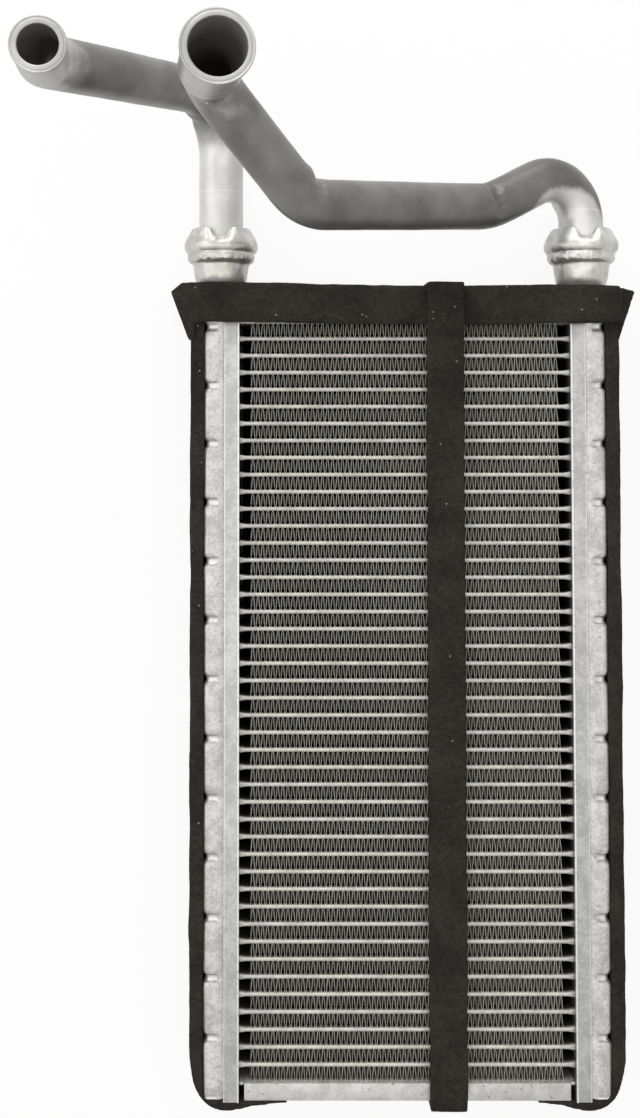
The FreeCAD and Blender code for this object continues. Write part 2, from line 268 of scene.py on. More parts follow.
first_tube, second_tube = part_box(TUBE_NODES[0]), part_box(TUBE_NODES[1])
tube_pitch = first_tube[0].y - second_tube[0].y
tube_middle = (first_tube[0] + first_tube[1]) / 2
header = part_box("header_plate_right")
core_middle = (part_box("header_plate_left")[0].x + header[1].x) / 2
header_face = header[0].x - core_middle
tube_half = header_face + tube_overlap
fillet_grow = 1 + fillet_rise / (first_tube[1].y - tube_middle.y)
tubes = block(
    "flat_tubes",
    (core_middle - tube_half, first_tube[0].y, first_tube[0].z),
    (core_middle + tube_half, first_tube[1].y, first_tube[1].z),
)
edit(tubes)
for station in range(1, tube_stations):
    cut((core_middle - tube_half + 2 * tube_half * station / tube_stations, 0, 0), (1, 0, 0))
for side in (-1, 1):
    cut((core_middle + side * (header_face - fillet_reach), 0, 0), (1, 0, 0))
    pick(tubes, lambda p: side * (p.x - core_middle) > header_face)
    bpy.ops.transform.resize(
        value=(1, fillet_grow, 1), center_override=(core_middle, tube_middle.y, tube_middle.z)
    )
bpy.ops.object.mode_set(mode="OBJECT")
modify(tubes, "BEVEL", width=nose_bevel, segments=3, limit_method="ANGLE", angle_limit=1.0)
tubes = copies(tubes, [(0, -tube_pitch * n, 0) for n in range(1, len(TUBE_NODES))])
uneven(tubes, "tube_waver", tube_waver_size, tube_waver, "Z")

tube_paint, place = finish_named("tube_brazing_skin")
clouds = place.noise(170.0, 5.0, 0.65)
fine = place.noise(1100.0, 3.0)
skin = (clouds * 0.6 + fine * 0.4).above(0.36, 0.64).mix(skin_dull, skin_bright)
nose_level = place.axes()[2].above(first_tube[1].z - nose_depth, first_tube[1].z - nose_bright)
surface(
    place, clouds * 0.4 + fine * 0.6, 0.06 * mm,
    Base_Color=nose_level.mix(nose_shadow, skin), Metallic=0.45, Roughness=0.5 + (fine - 0.5) * 0.3,
)
done(tubes, tube_paint, "tube", *TUBE_NODES)


# Fin strips
# Thin aluminium ribbon folded into steep waves and brazed between the tubes.
# Each wall is cut into louvres, whose slats fill the view between the walls. The
# noise goes on while they are pressed flat, so each wall stays straight in its depth.

fin_waves = 62
fin_rows = len(TUBE_NODES) + 1
fin_thickness = 0.15 * mm
crest_share = 0.13
slat_half = 0.42 * mm
slat_depth = 0.7 * mm
slat_margin = 0.75 * mm
slat_drop = 2.2 * mm
slat_tip = 0.15
pressed_flat = 0.01
fin_waver_size = 2.0 * mm
fin_waver = 0.5 * mm
wall_warm = (0.46, 0.435, 0.385, 1)
wall_pale = (0.52, 0.515, 0.44, 1)
wall_streak = (0.36, 0.34, 0.30, 1)
wall_deep_shade = (0.045, 0.041, 0.035, 1)
wall_lit = (0.30, 0.285, 0.25, 1)

fins_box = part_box("fin_strips")
fin_pitch = (fins_box[1].x - fins_box[0].x) / fin_waves
row_low = first_tube[1].y + fin_thickness / 2
row_top = first_tube[0].y + tube_pitch - fin_thickness / 2
crest = fin_pitch * crest_share
lean = fin_pitch / 2 - 2 * crest
lean_angle = math.atan2(lean, row_top - row_low)


def edge_between(name, start, end):
    """A new piece that is one edge between two points, open in edit mode and selected."""
    deselect()
    bpy.ops.mesh.primitive_plane_add(size=1, location=(0, 0, 0))
    piece = bpy.context.active_object
    piece.name = name
    edit(piece)
    pick(piece, lambda p: p.x > 0)
    bpy.ops.mesh.delete(type="VERT")
    bpy.ops.mesh.select_all(action="SELECT")
    mesh = bmesh.from_edit_mesh(piece.data)
    for vert, point in zip(sorted(mesh.verts, key=lambda v: v.co.y), (start, end)):
        vert.co = Vector(point)
    bmesh.update_edit_mesh(piece.data)
    return piece


def scale_depth(piece, share, level):
    """Presses a whole piece flat towards one level, or draws it out again."""
    edit(piece)
    bpy.ops.mesh.select_all(action="SELECT")
    bpy.ops.transform.resize(value=(1, 1, share), center_override=(0, 0, level))
    bpy.ops.object.mode_set(mode="OBJECT")


fins = edge_between(
    "fin_strips_folded",
    (fins_box[0].x, row_low, fins_box[0].z), (fins_box[0].x, row_low, fins_box[1].z),
)
wave = [
    (crest, 0), (lean, row_top - row_low), (2 * crest, 0), (lean, row_low - row_top), (crest, 0),
]
for across, up in wave:
    bpy.ops.mesh.extrude_region_move(TRANSFORM_OT_translate={"value": (across, up, 0)})
bpy.ops.object.mode_set(mode="OBJECT")
modify(fins, "SOLIDIFY", thickness=fin_thickness, offset=0.0)

slat_low = fins_box[1].z - slat_drop
slats = []
for half_wave, turn in ((0, lean_angle), (1, -lean_angle)):
    x = fins_box[0].x + crest + lean / 2 + half_wave * fin_pitch / 2
    slat = block(
        "fin_slat",
        (x - slat_half, row_low + slat_margin, slat_low),
        (x + slat_half, row_top - slat_margin, slat_low + slat_depth),
    )
    edit(slat)
    pick(slat, lambda p: p.z > slat_low + slat_depth / 2)
    bpy.ops.transform.resize(value=(slat_tip, 1, 1), center_override=(x, 0, fins_box[1].z))
    bpy.ops.mesh.select_all(action="SELECT")
    bpy.ops.transform.rotate(
        value=turn, orient_axis="Z", center_override=(x, (row_low + row_top) / 2, 0)
    )
    bpy.ops.object.mode_set(mode="OBJECT")
    slats.append(slat)
fins = joined([fins] + slats)
modify(
    fins, "ARRAY", count=fin_waves, use_relative_offset=False, use_constant_offset=True,
    constant_offset_displace=(fin_pitch, 0, 0),
)
fins = copies(fins, [(0, -tube_pitch * n, 0) for n in range(1, fin_rows)])
scale_depth(fins, pressed_flat, fins_box[0].z)
uneven(fins, "fin_lean", fin_waver_size, fin_waver, "X")
scale_depth(fins, 1 / pressed_flat, fins_box[0].z)

fin_paint, place = finish_named("fin_ribbon")
streak = place.stretched((900.0, 60.0, 60.0)).noise(1.0, 2.0)
wall = place.noise(22.0, 3.0).above(0.38, 0.62).mix(wall_warm, wall_pale)
height = place.axes()[2]
# Painted shade: the walls go near black deep in and a dimmer grey near the front. Only the front
# edges keep the ribbon's own streaked colour.
lit = height.above(fins_box[1].z - 4.0 * mm, fins_box[1].z - 0.2 * mm)
edge = height.above(fins_box[1].z - 0.5 * mm, fins_box[1].z - 0.1 * mm)
edge_color = streak.above(0.25, 0.6).mix(wall_streak, wall)
surface(
    place, streak, 0.02 * mm,
    Base_Color=edge.mix(lit.mix(wall_deep_shade, wall_lit), edge_color),
    Metallic=0.3, Roughness=0.5 + streak * 0.2,
)
done(fins, fin_paint, "fin", "fin_strips", smooth=math.radians(20))


# Header plates
# Pressed aluminium pans that the tube ends are brazed into, one at each side.
# Seen from the front each is a narrow cool-grey rim whose pressed edges carry a painted highlight.

rim_round = 0.45 * mm
lip_width = 0.7 * mm
lip_rise = 0.3 * mm
near = 0.01 * mm
rim_x = header[1].x - core_middle
rim_grey = (0.36, 0.36, 0.35, 1)
rim_pale = (0.50, 0.50, 0.485, 1)
rim_highlight = (0.70, 0.69, 0.68, 1)
rim_shadow = (0.10, 0.09, 0.075, 1)

header_paint, place = finish_named("header_sheet")
across, along, height = place.axes()
off_middle = (across - core_middle).math("ABSOLUTE")
clouds = place.noise(140.0, 5.0, 0.65)
fine = place.noise(900.0, 3.0, 0.6)
sheet = (clouds * 0.6 + fine * 0.4).above(0.4, 0.62).mix(rim_grey, rim_pale)
from_inner = (off_middle - header_face - lip_width / 2).math("ABSOLUTE")
inner_edge = 1 - from_inner.above(0.25 * mm, 0.5 * mm)
outer_edge = 1 - (rim_x - off_middle).math("ABSOLUTE").above(0.25 * mm, 0.55 * mm)
# A painted highlight, broken by fine noise, runs along both edges of each rim. Painted shade darkens
# the sheet below its front face.
edge_highlight = inner_edge.math("MAXIMUM", outer_edge * 0.8) * fine.above(0.25, 0.5)
front = height.above(header[1].z - 1.8 * mm, header[1].z - 0.5 * mm)
surface(
    place, clouds * 0.5 + fine * 0.5, 0.08 * mm,
    Base_Color=front.mix(rim_shadow, edge_highlight.mix(sheet, rim_highlight)),
    Metallic=0.5, Roughness=0.4 + (fine - 0.5) * 0.3,
)
for name, side in (("header_plate_left", -1), ("header_plate_right", 1)):
    low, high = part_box(name)
    inner_x = low.x if side > 0 else high.x
    rim = block(name + "_rim", low, high)
    edit(rim)
    cut((inner_x + side * lip_width, 0, 0), (1, 0, 0))
    pick(rim, lambda p: p.z > high.z - rim_round and abs(p.x - inner_x) < lip_width + near)
    bpy.ops.mesh.extrude_region_move(TRANSFORM_OT_translate={"value": (0, 0, lip_rise)})
    bpy.ops.object.mode_set(mode="OBJECT")
    modify(rim, "BEVEL", width=rim_round, segments=3, limit_method="ANGLE", angle_limit=0.5)
    done(rim, header_paint, "header", name)


# Tanks
# Drawn aluminium pans with soft edges, stiffened by grooves pressed across
# them. Their feet sit inside the headers' rims.

groove_count = 13
groove_pitch = 20.64 * mm
first_groove = 130.8 * mm
groove_half = 1.2 * mm
groove_sink = 1.05 * mm
groove_reach = 5.6 * mm
groove_cuts = (-2.6, -1.7, -1, -0.5, 0.5, 1, 1.7, 2.6)
groove_steps = ((2.0, 0.12), (1.2, 0.38), (0.7, 0.5))
tank_round = 2.0 * mm
valley = 0.6 * mm
tank_grey = (0.36, 0.345, 0.335, 1)
tank_pale = (0.56, 0.54, 0.525, 1)
tank_speck = (0.22, 0.21, 0.20, 1)
groove_highlight = (0.72, 0.71, 0.70, 1)
groove_crease_shade = (0.13, 0.12, 0.11, 1)

for name, side in (("tank_left", -1), ("tank_right", 1)):
    low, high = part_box(name)
    inner_x = core_middle + side * rim_x
    outer_x = high.x if side > 0 else low.x
    z_middle = (low.z + high.z) / 2
    reach = Vector((abs(outer_x - inner_x), 0, z_middle - low.z))
    xs = sorted((inner_x, outer_x))
    shell = block(name + "_shell", (xs[0], low.y, low.z), (xs[1], high.y, high.z))
    edit(shell)
    pick(shell, lambda p: abs(p.x - outer_x) < near)
    bpy.ops.mesh.bevel(offset=tank_round, segments=6, affect="EDGES")
    for share in (1.0, 0.7):
        cut((outer_x - side * groove_reach * share, 0, 0), (1, 0, 0))
    pick(shell, lambda p: abs(p.x - inner_x) < near and p.z > z_middle)
    bpy.ops.transform.translate(value=(0, 0, -valley))
    for n in range(groove_count):
        y = first_groove - n * groove_pitch
        for step in groove_cuts:
            cut((0, y + step * groove_half, 0), (0, 1, 0))
        for width, share in groove_steps:
            sink = groove_sink * share
            pick(shell, lambda p: (
                abs(p.y - y) < groove_half * width
                and abs(p.x - outer_x) < groove_reach * 0.9
            ))
            bpy.ops.transform.resize(
                value=(1 - sink / reach.x, 1, 1 - sink / reach.z),
                center_override=(inner_x, y, z_middle),
            )
    bpy.ops.object.mode_set(mode="OBJECT")
    uneven(shell, name + "_waver", 9 * mm, 0.3 * mm)
    uneven(shell, name + "_dents", 3 * mm, 0.12 * mm)

    tank_paint, place = finish_named(name + "_sheet")
    across, along, height = place.axes()
    clouds = place.noise(150.0, 5.0, 0.7)
    fine = place.noise(1100.0, 3.0)
    wander = (place.noise(300.0, 2.0) - 0.5) * 1.2 * mm
    off_groove = (along - first_groove + wander).math("PINGPONG", groove_pitch / 2)
    on_face = 1 - (across - outer_x).math("ABSOLUTE").above(groove_reach * 0.8, groove_reach)
    # Painted light at the grooves: painted shade in the creases along each groove's sides, and a
    # painted highlight on its floor.
    crease_shade = off_groove.above(0.9 * mm, 1.15 * mm) - off_groove.above(1.3 * mm, 1.7 * mm)
    groove_floor = 1 - off_groove.above(0.5 * mm, 1.0 * mm)
    tone = (clouds * 0.6 + fine * 0.4).above(0.38, 0.62)
    clear = 1 - place.noise(480.0, 2.0, 0.7).above(0.64, 0.72) * 0.6
    sheet = clear.mix(tank_speck, tone.mix(tank_grey, tank_pale))
    sheet = (groove_floor * on_face * 0.7).mix(sheet, groove_highlight)
    sheet = (crease_shade * on_face * tone.math("MAXIMUM", 0.35) * 0.75).mix(sheet, groove_crease_shade)
    surface(
        place, clouds * 0.5 + fine * 0.5, 0.12 * mm,
        Base_Color=sheet, Metallic=0.5, Roughness=0.36 + (fine - 0.5) * 0.25,
    )
    done(shell, tank_paint, "tank", name, smooth=math.radians(60))


# Side plates
# Folded aluminium channels that close the stack at both ends. The web of each
# runs on as a tab at either end, which is brazed to the header plate there.

plate_sheet = 1.2 * mm
plate_end_gap = 1.8 * mm
plate_round = 0.35 * mm
plate_grey = (0.42, 0.41, 0.39, 1)
plate_pale = (0.58, 0.57, 0.55, 1)
plate_speck = (0.25, 0.24, 0.22, 1)


def ribbon(name, route, along, thickness):
    """A sheet as wide as along, laid along a route of points, with its thickness."""
    start = Vector(route[0])
    piece = edge_between(name, start, start + Vector(along))
    for last, point in zip(route, route[1:]):
        move = Vector(point) - Vector(last)
        bpy.ops.mesh.extrude_region_move(TRANSFORM_OT_translate={"value": move})
    bpy.ops.mesh.select_all(action="SELECT")
    bpy.ops.mesh.remove_doubles(threshold=near)
    bpy.ops.mesh.normals_make_consistent(inside=False)
    bpy.ops.object.mode_set(mode="OBJECT")
    modify(piece, "SOLIDIFY", thickness=thickness, offset=0.0, use_even_offset=True)
    return piece


plate_paint, place = finish_named("side_plate_sheet")
clouds = place.noise(170.0, 5.0, 0.65)
fine = place.noise(1100.0, 3.0)
tone = (clouds * 0.65 + fine * 0.35).above(0.36, 0.64)
clear = place.cells(420.0).above(0.10, 0.2).math("MAXIMUM", clouds.above(0.5, 0.56))
surface(
    place, clouds * 0.4 + fine * 0.6, 0.06 * mm,
    Base_Color=clear.mix(plate_speck, tone.mix(plate_grey, plate_pale)),
    Metallic=0.5, Roughness=0.5 + (fine - 0.5) * 0.3,
)
for name, side in (("side_plate_top", 1), ("side_plate_bottom", -1)):
    low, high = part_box(name)
    inner_y = low.y if side > 0 else high.y
    outer_y = high.y if side > 0 else low.y
    web_y = inner_y + side * plate_sheet / 2
    left_x = low.x + plate_end_gap
    channel = ribbon(
        name + "_channel",
        [
            (left_x, outer_y, low.z + plate_sheet / 2), (left_x, web_y, low.z + plate_sheet / 2),
            (left_x, web_y, high.z - plate_sheet / 2), (left_x, outer_y, high.z - plate_sheet / 2),
        ],
        (high.x - low.x - 2 * plate_end_gap, 0, 0), plate_sheet,
    )
    parts = [channel]
    for x in (low.x, high.x - plate_end_gap):
        parts.append(block(
            name + "_tab",
            (x, web_y - plate_sheet / 2, low.z + mm),
            (x + plate_end_gap, web_y + plate_sheet / 2, high.z - mm),
        ))
    channel = joined(parts)
    modify(channel, "BEVEL", width=plate_round, segments=2, limit_method="ANGLE", angle_limit=0.6)
    uneven(channel, name + "_waver", 12 * mm, 0.25 * mm)
    done(channel, plate_paint, "side_plate", name)


# Pipe unions
# Turned and pressed aluminium cups brazed on the tanks' ends. Each skirt was
# hammered in over the pipe's bead, as two claws with a notch between them.

union_low, union_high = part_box("pipe_unions")
union_z = (union_low.z + union_high.z) / 2
union_radius = (union_high.z - union_low.z) / 2
union_axes = (union_low.x + union_radius, union_high.x - union_radius)

# Height over the tank and radius of each ring, in millimetres: up the outside of the cup
# and its bead, over the claws' edge, and down their inner side.
union_section = [
    (0.0, 5.4), (4.0, 6.7), (9.6, 8.4), (10.6, 8.9), (12.2, 9.4), (15.0, 9.85), (17.0, 10.0),
    (17.8, 10.25), (18.2, 11.1), (18.7, 11.8), (19.6, 12.15), (20.6, 12.2), (21.2, 12.1),
    (21.45, 12.0), (21.7, 12.2), (22.3, 12.85), (23.2, 13.3), (24.6, 13.38), (26.0, 13.1),
    (27.6, 12.35), (29.2, 11.35), (30.1, 10.85), (30.35, 10.7), (30.42, 10.4), (30.42, 9.3),
    (30.1, 8.8), (28.6, 8.5), (26.4, 8.45), (24.8, 8.45),
]
ring_points = 96
claw_root = 24.0 * mm
horn_inner = 5.6 * mm
horn_outer = 8.4 * mm
horn_lift = 1.005
notch_half_widths = (4.2, 3.8, 3.4, 3.1, 2.8, 2.5, 2.2, 1.8)
notch_press = 0.915
union_dull = (0.47, 0.455, 0.42, 1)
union_bright = (0.64, 0.625, 0.59, 1)


def disc(points, radius, middle):
    """A round face that looks along the core, open in edit mode and selected."""
    deselect()
    bpy.ops.mesh.primitive_circle_add(
        vertices=points, radius=radius, fill_type="NGON",
        location=middle, rotation=(-math.pi / 2, 0, 0),
    )
    piece = bpy.context.active_object
    bpy.ops.object.transform_apply(location=True, rotation=True, scale=True)
    edit(piece)
    bpy.ops.mesh.select_all(action="SELECT")
    return piece


def ring_extrude(move, grow, center):
    """Extrudes the selected ring by a move, then scales it about its own centre."""
    bpy.ops.mesh.extrude_region_move(TRANSFORM_OT_translate={"value": move})
    bpy.ops.transform.resize(value=(grow, grow, grow), center_override=center)


cups = []
for axis_x in union_axes:
    cup = disc(ring_points, union_section[0][1] * mm, (axis_x, union_low.y, union_z))
    for (h0, r0), (h1, r1) in zip(union_section, union_section[1:]):
        ring_middle = (axis_x, union_low.y + h1 * mm, union_z)
        ring_extrude((0, (h1 - h0) * mm, 0), r1 / r0, ring_middle)
    root = (axis_x, union_low.y + claw_root, union_z)
    pick(cup, lambda p: p.y > root[1] and horn_inner < abs(p.x - axis_x) < horn_outer)
    bpy.ops.transform.resize(value=(1, horn_lift, 1), center_override=root)
    for half_width in notch_half_widths:
        pick(cup, lambda p: p.y > root[1] and abs(p.x - axis_x) < half_width * mm)
        bpy.ops.transform.resize(value=(1, notch_press, 1), center_override=root)
    bpy.ops.mesh.select_all(action="SELECT")
    bpy.ops.mesh.normals_make_consistent(inside=False)
    bpy.ops.object.mode_set(mode="OBJECT")
    cups.append(cup)
unions = joined(cups)
unions.name = "pipe_unions_clinched"
modify(unions, "SUBSURF", levels=1, render_levels=1)
uneven(unions, "hammering", 3.0 * mm, 0.3 * mm)

union_paint, place = finish_named("union_bright")
up_union = place.axes()[1] - union_low.y
bead = up_union.above(17.6 * mm, 18.4 * mm) - up_union.above(21.0 * mm, 21.8 * mm)
mottle = place.noise(240.0, 4.0)
dents = place.cells(620.0) * bead
satin = place.noise(1500.0, 2.0)
surface(
    place, mottle * 0.25 + dents * 0.9 + satin * 0.1, 0.3 * mm,
    Base_Color=mottle.above(0.35, 0.65).mix(union_dull, union_bright),
    Metallic=0.75, Roughness=0.3 + mottle * 0.16,
)
done(unions, union_paint, "union", "pipe_unions", smooth=math.radians(50))


# Coolant pipes
# Drawn aluminium pipe, bent cold, so that the inside of each tight bend has a
# soft crease. The hose ends are rolled out into lips.

pipe_radius = 8.0
pipe_points = 48
ring_spacing = 6.0 * mm
spin_step = 6.0
bore_depth = 8.0 * mm
foot_y = 151.5 * mm
crease_turns = (22, 44, 66, 88)
crease_steps = ((-3.4 * mm, 0.1), (0.0, -1.0), (3.2 * mm, 0.5))
crease_slant = 2.0 * mm
slant_turns = 1.7
crease_touch = 1.8 * mm
crease_size = 2.6 * mm
pipe_run_shade = ((0.120, 0.112, 0.106, 1), (0.205, 0.195, 0.187, 1))
pipe_end_highlight = ((0.52, 0.51, 0.49, 1), (0.70, 0.69, 0.67, 1))
pipe_mark = (0.78, 0.77, 0.75, 1)


def crease(pipe, before, corner, after, bend, radius, depth):
    """Wrinkles the wall across the inner side of a bend, where bending pressed it together."""
    before, corner, after = Vector(before), Vector(corner), Vector(after)
    back, on = (before - corner).normalized(), (after - corner).normalized()
    inward = (back + on).normalized()
    along = (on - back).normalized()
    round_it = inward.cross(along)
    half_turn = math.pi / 2 - back.angle(on) / 2
    middle = corner + inward * bend * (1 / math.cos(half_turn) - 1)
    edit(pipe)
    for turn in crease_turns:
        way = inward * math.cos(math.radians(turn)) + round_it * math.sin(math.radians(turn))
        slant = crease_slant * math.sin(math.radians(turn * slant_turns))
        for step, share in crease_steps:
            spot = middle + way * radius + along * (step + slant)
            pick(pipe, lambda p: (p - spot).length < crease_touch)
            bpy.ops.transform.translate(
                value=way * depth * share, use_proportional_edit=True,
                proportional_edit_falloff="SMOOTH", proportional_size=crease_size,
            )
    bpy.ops.object.mode_set(mode="OBJECT")


def bent_pipe(name, foot, corners, end, bends, mouth):
    """One skin from the foot through the bends to the lip, and back down the bore. The mouth
    gives the distance before the end and the radius of each ring, in millimetres."""
    pipe = disc(pipe_points, pipe_radius * mm, foot)
    pipe.name = name
    last = Vector(foot)
    for corner, after, bend in zip(corners, corners[1:] + [end], bends):
        corner, after = Vector(corner), Vector(after)
        back = (last - corner).normalized()
        ahead = (after - corner).normalized()
        turn = math.pi - back.angle(ahead)
        tangent = bend * math.tan(turn / 2)
        start = corner + back * tangent
        rings = max(1, round((start - last).length / ring_spacing))
        for _ in range(rings):
            bpy.ops.mesh.extrude_region_move(
                TRANSFORM_OT_translate={"value": (start - last) / rings}
            )
        center = corner + (back + ahead).normalized() * (bend / math.cos(turn / 2))
        axis = ahead.cross(back).normalized()
        spin_steps = max(3, round(math.degrees(turn) / spin_step))
        bpy.ops.mesh.spin(steps=spin_steps, angle=-turn, center=center, axis=axis)
        last = corner + ahead * tangent
    ahead = (Vector(end) - last).normalized()
    length = (Vector(end) - last).length
    radius = pipe_radius
    reached = 0.0
    for from_end, new_radius in mouth:
        move = length - from_end * mm - reached
        reached += move
        ring_extrude(ahead * move, new_radius / radius, last + ahead * reached)
        radius = new_radius
    # The bore goes back round the last bend, whose centre, axis and turn are still at hand.
    ring_extrude(-ahead * reached, 1.0, last)
    bpy.ops.mesh.spin(steps=spin_steps, angle=turn, center=center, axis=axis)
    bpy.ops.mesh.extrude_region_move(TRANSFORM_OT_translate={"value": back * bore_depth})
    bpy.ops.mesh.edge_face_add()
    bpy.ops.mesh.select_all(action="SELECT")
    bpy.ops.mesh.remove_doubles(threshold=1e-6)
    bpy.ops.mesh.normals_make_consistent(inside=False)
    bpy.ops.object.mode_set(mode="OBJECT")
    modify(pipe, "SUBSURF", levels=1, render_levels=1)
    return pipe


def pipe_skin(name, past_foot, ring_line):
    """Drawn pipe: painted shade keeps its runs dull grey, and a painted highlight brightens the neck
    above the union and the hose ends.
    """
    material, place = finish_named(name)
    x, y, z = place.axes()
    clouds = place.noise(60.0, 4.0, 0.5)
    fine = place.noise(700.0, 3.0)
    warp = (place.noise(110.0, 4.0, 0.6) - 0.5) * 22 * mm
    low_part = 1 - z.above(38 * mm, 46 * mm)
    # Painted highlight on the neck and, at 0.6, on the hose ends. Everywhere else painted shade keeps
    # the pipe dull.
    neck = (1 - past_foot(x, y, warp)) * low_part
    stub = (z + warp).above(112 * mm, 126 * mm)
    highlight_mask = neck.math("MAXIMUM", stub * 0.6)
    tone = clouds.above(0.3, 0.7)
    nick = (1 - place.cells(60.0).above(0.03, 0.045)) * place.noise(90.0, 1.0).above(0.5, 0.52)
    turned = (1 - (y - ring_line).math("ABSOLUTE").above(0.1 * mm, 0.25 * mm)) * low_part
    mark = (nick * 0.6).math("MAXIMUM", turned * highlight_mask * 0.55)
    color = mark.mix(highlight_mask.mix(tone.mix(*pipe_run_shade), tone.mix(*pipe_end_highlight)), pipe_mark)
    surface(
        place, fine * 0.25 + clouds * 0.35 + nick * 0.4, 0.08 * mm,
        Base_Color=color, Metallic=0.5, Roughness=0.3 + fine * 0.16,
    )
    return material


small_foot = (union_axes[0], foot_y, union_z)
small_corners = [
    (union_axes[0], 216.8 * mm, union_z), (-127.4 * mm, 201.4 * mm, 121.7 * mm),
]
small_end = (-126.0 * mm, 200.9 * mm, 141.0 * mm)
small_bends = (21.0 * mm, 13.0 * mm)
small_mouth = [
    (3.4, 8.0), (2.9, 7.75), (2.5, 7.75), (2.1, 8.15), (1.2, 8.25), (0.3, 8.25), (0.05, 8.1),
    (0.0, 7.75), (0.25, 7.6), (0.25, 7.4), (0.0, 7.25), (0.0, 6.1), (0.15, 5.85), (0.6, 5.8),
    (2.2, 5.8), (2.8, 6.6),
]
small_pipe = bent_pipe(
    "small_end_pipe_bent", small_foot, small_corners, small_end, small_bends, small_mouth
)
crease(small_pipe, small_foot, *small_corners, small_bends[0], 7.75 * mm, 0.25 * mm)
uneven(small_pipe, "small_pipe_waver", 14 * mm, 0.25 * mm)
# The small pipe's painted highlight stops where its neck reaches 194 to 206 mm along Y.
small_paint = pipe_skin(
    "small_pipe_skin", lambda x, y, warp: (y + warp * 0.25).above(194 * mm, 206 * mm), 180.7 * mm
)
done(small_pipe, small_paint, "pipe", "small_end_pipe", smooth=math.radians(50))

large_foot = (union_axes[1], foot_y, union_z)
large_corners = [
    (union_axes[1], 192.9 * mm, union_z), (14.8 * mm, 172.4 * mm, 37.9 * mm),
    (-50.4 * mm, 164.5 * mm, 89.7 * mm), (-80.5 * mm, 198.7 * mm, 112.4 * mm),
]
large_end = (-75.4 * mm, 196.6 * mm, 154.5 * mm)
large_bends = (14.5 * mm, 26.0 * mm, 18.0 * mm, 13.0 * mm)
large_mouth = [
    (32.8, 8.0), (30.5, 8.6), (28.2, 9.3), (26.6, 9.5), (20.0, 9.5), (12.0, 9.5), (3.2, 9.5),
    (2.6, 9.7), (2.1, 10.3), (1.2, 10.5), (0.3, 10.5), (0.05, 10.35), (0.0, 10.0), (0.25, 9.8),
    (0.25, 9.55), (0.0, 9.35), (0.0, 8.5), (0.15, 8.2), (0.6, 8.1), (5.0, 8.1), (26.0, 8.1),
    (31.0, 6.9), (33.0, 6.7),
]
large_pipe = bent_pipe(
    "large_end_pipe_bent", large_foot, large_corners, large_end, large_bends, large_mouth
)
large_route = [large_foot] + large_corners
for first, depth in enumerate((0.45 * mm, 0.55 * mm, 0.55 * mm)):
    bend_points = large_route[first:first + 3]
    crease(large_pipe, *bend_points, large_bends[first], pipe_radius * mm, depth)
uneven(large_pipe, "large_pipe_waver", 14 * mm, 0.3 * mm)
# The large pipe's painted highlight is a round patch about this point on its neck.
highlight_x = union_axes[1] - 7.0 * mm
highlight_y = 166.2 * mm
large_paint = pipe_skin(
    "large_pipe_skin",
    lambda x, y, warp: (
        ((x - highlight_x) * (x - highlight_x) + (y - highlight_y) * (y - highlight_y)).math("SQRT") + warp * 0.2
    ).above(13.5 * mm, 16.0 * mm),
    173.8 * mm,
)
done(large_pipe, large_paint, "pipe", "large_end_pipe", smooth=math.radians(50))


# Rubber rings
# Moulded rubber rings that seal the foot of each pipe in its union. They are
# hidden inside the cups, so their solids stay as they are.

seal_paint, place = finish_named("seal_rubber")
mottle = place.noise(400.0)
surface(
    place, mottle, 0.03 * mm,
    Base_Color=mottle.mix((0.02, 0.02, 0.02, 1), (0.05, 0.05, 0.05, 1)), Roughness=0.6 + mottle * 0.2,
)
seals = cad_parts["pipe_seals"]
seals.data.materials.clear()
seals.data.materials.append(seal_paint)


# Foam seals
# Charcoal open-cell foam, cut as strips and glued on: a band folded over the
# pipe end, a strap round the stack, and a strip down each side.

foam_sheet = 2.6 * mm
foam_half = foam_sheet / 2
foam_round = 0.6 * mm
band_grain = 0.8 * mm
strap_grain = 0.7 * mm
strip_grain = 0.55 * mm
foam_dark = (0.018, 0.0155, 0.0125, 1)
foam_grey = (0.036, 0.032, 0.026, 1)
foam_pore = (0.006, 0.005, 0.004, 1)
foam_speck = (0.30, 0.28, 0.25, 1)

foam_paint, place = finish_named("foam_charcoal")
pores = place.cells(1500.0)
grit = place.noise(2600.0, 3.0)
shade = place.noise(60.0, 3.0)
lumps = place.noise(420.0, 4.0, 0.7)
speck = (1 - place.cells(260.0).above(0.06, 0.09)) * place.noise(210.0, 1.0).above(0.54, 0.57)
foam_face = (shade * 0.5 + lumps * 0.5).above(0.38, 0.62).mix(foam_dark, foam_grey)
foam_color = speck.mix(pores.above(0.12, 0.45).mix(foam_pore, foam_face), foam_speck)
surface(
    place, pores * 0.4 + grit * 0.2 + lumps * 0.4, 0.5 * mm,
    Base_Color=foam_color, Roughness=0.9 + grit * 0.1, Specular_IOR_Level=0.2,
)


def foam_finished(piece, node, grain):
    modify(piece, "BEVEL", width=foam_round, segments=2, limit_method="ANGLE", angle_limit=0.5)
    modify(piece, "REMESH", mode="VOXEL", voxel_size=grain)
    uneven(piece, node + "_lie", 16 * mm, 0.9 * mm)
    uneven(piece, node + "_face", 1.4 * mm, 0.14 * mm)
    done(piece, foam_paint, "foam", node, smooth=math.radians(60))


def cut_foam(name, side, outline, low_z, high_z):
    """A piece cut to an outline of places off the core's middle and along it, standing from
    one level to another."""
    points = [Vector((core_middle + side * x, y, low_z)) for x, y in outline]
    piece = edge_between(name, points[0], points[1])
    for last, point in zip(points[1:], points[2:]):
        pick(piece, lambda p: (p - last).length < 1e-6)
        bpy.ops.mesh.extrude_vertices_move(TRANSFORM_OT_translate={"value": point - last})
    bpy.ops.mesh.select_all(action="SELECT")
    bpy.ops.mesh.edge_face_add()
    bpy.ops.mesh.extrude_region_move(TRANSFORM_OT_translate={"value": (0, 0, high_z - low_z)})
    bpy.ops.mesh.select_all(action="SELECT")
    bpy.ops.mesh.normals_make_consistent(inside=False)
    bpy.ops.object.mode_set(mode="OBJECT")
    return piece


